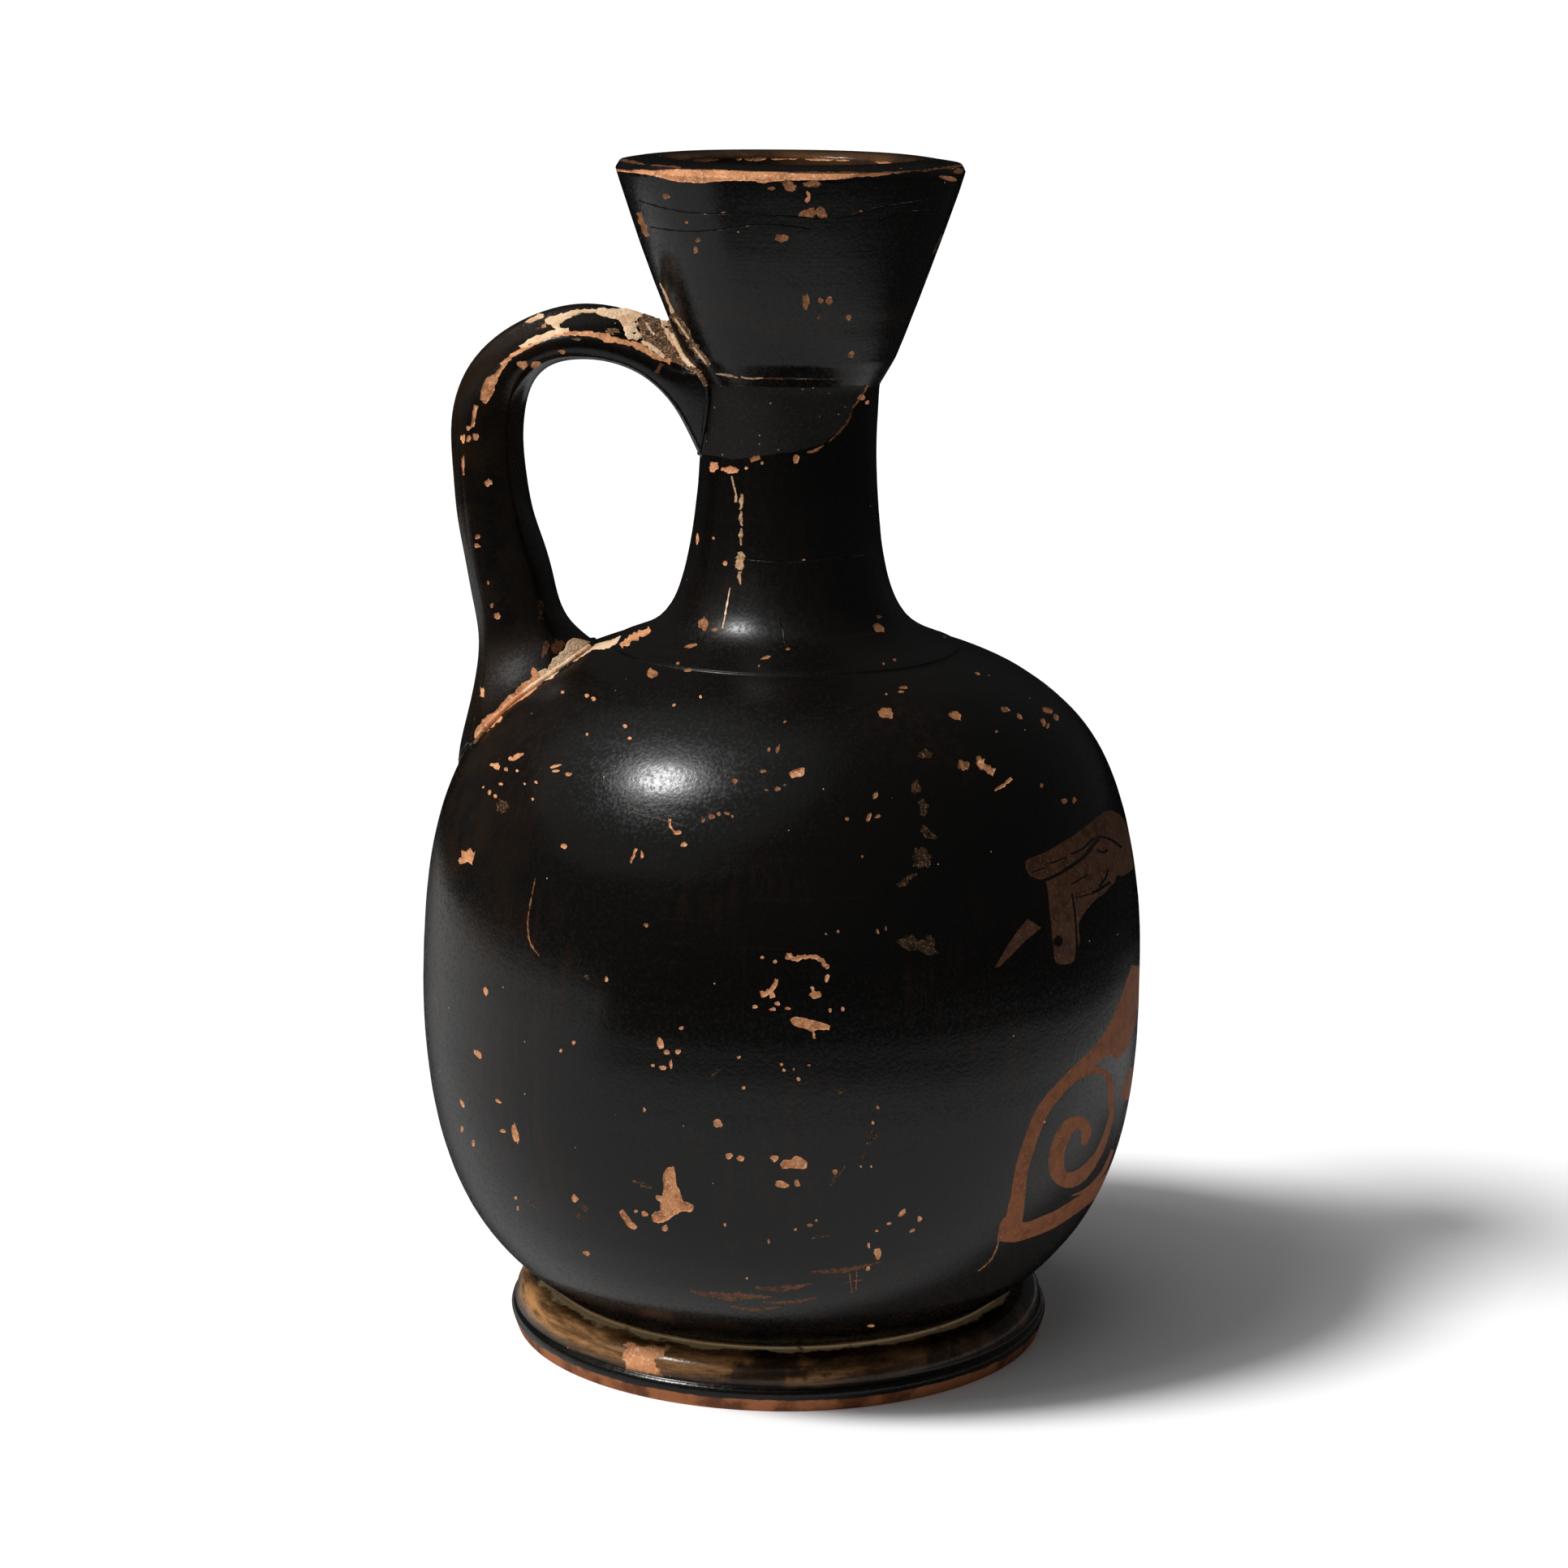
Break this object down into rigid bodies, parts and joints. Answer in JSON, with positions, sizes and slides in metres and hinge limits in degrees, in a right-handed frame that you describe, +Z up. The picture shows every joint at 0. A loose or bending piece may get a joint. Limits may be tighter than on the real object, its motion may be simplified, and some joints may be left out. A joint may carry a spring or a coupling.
{
  "type": "lekythos",
  "caption": "Slim-necked pottery oil jug with an ovoid body, disc foot, cup-shaped mouth and a ridged strap handle.",
  "frame": {"origin": "centre of the standing ring, in the plane that it stands on", "axes": "+Z up along the axis that the pot was turned on; the handle lies in the XZ plane towards -X"},
  "size_m": [0.0983, 0.0982, 0.1602],
  "materials": {
    "black_gloss_clay": "satin black slip over orange-brown fired clay, worn through at the edges"
  },
  "bodies": {
    "root": {"lekythos": "black_gloss_clay"}
  },
  "joints": []
}
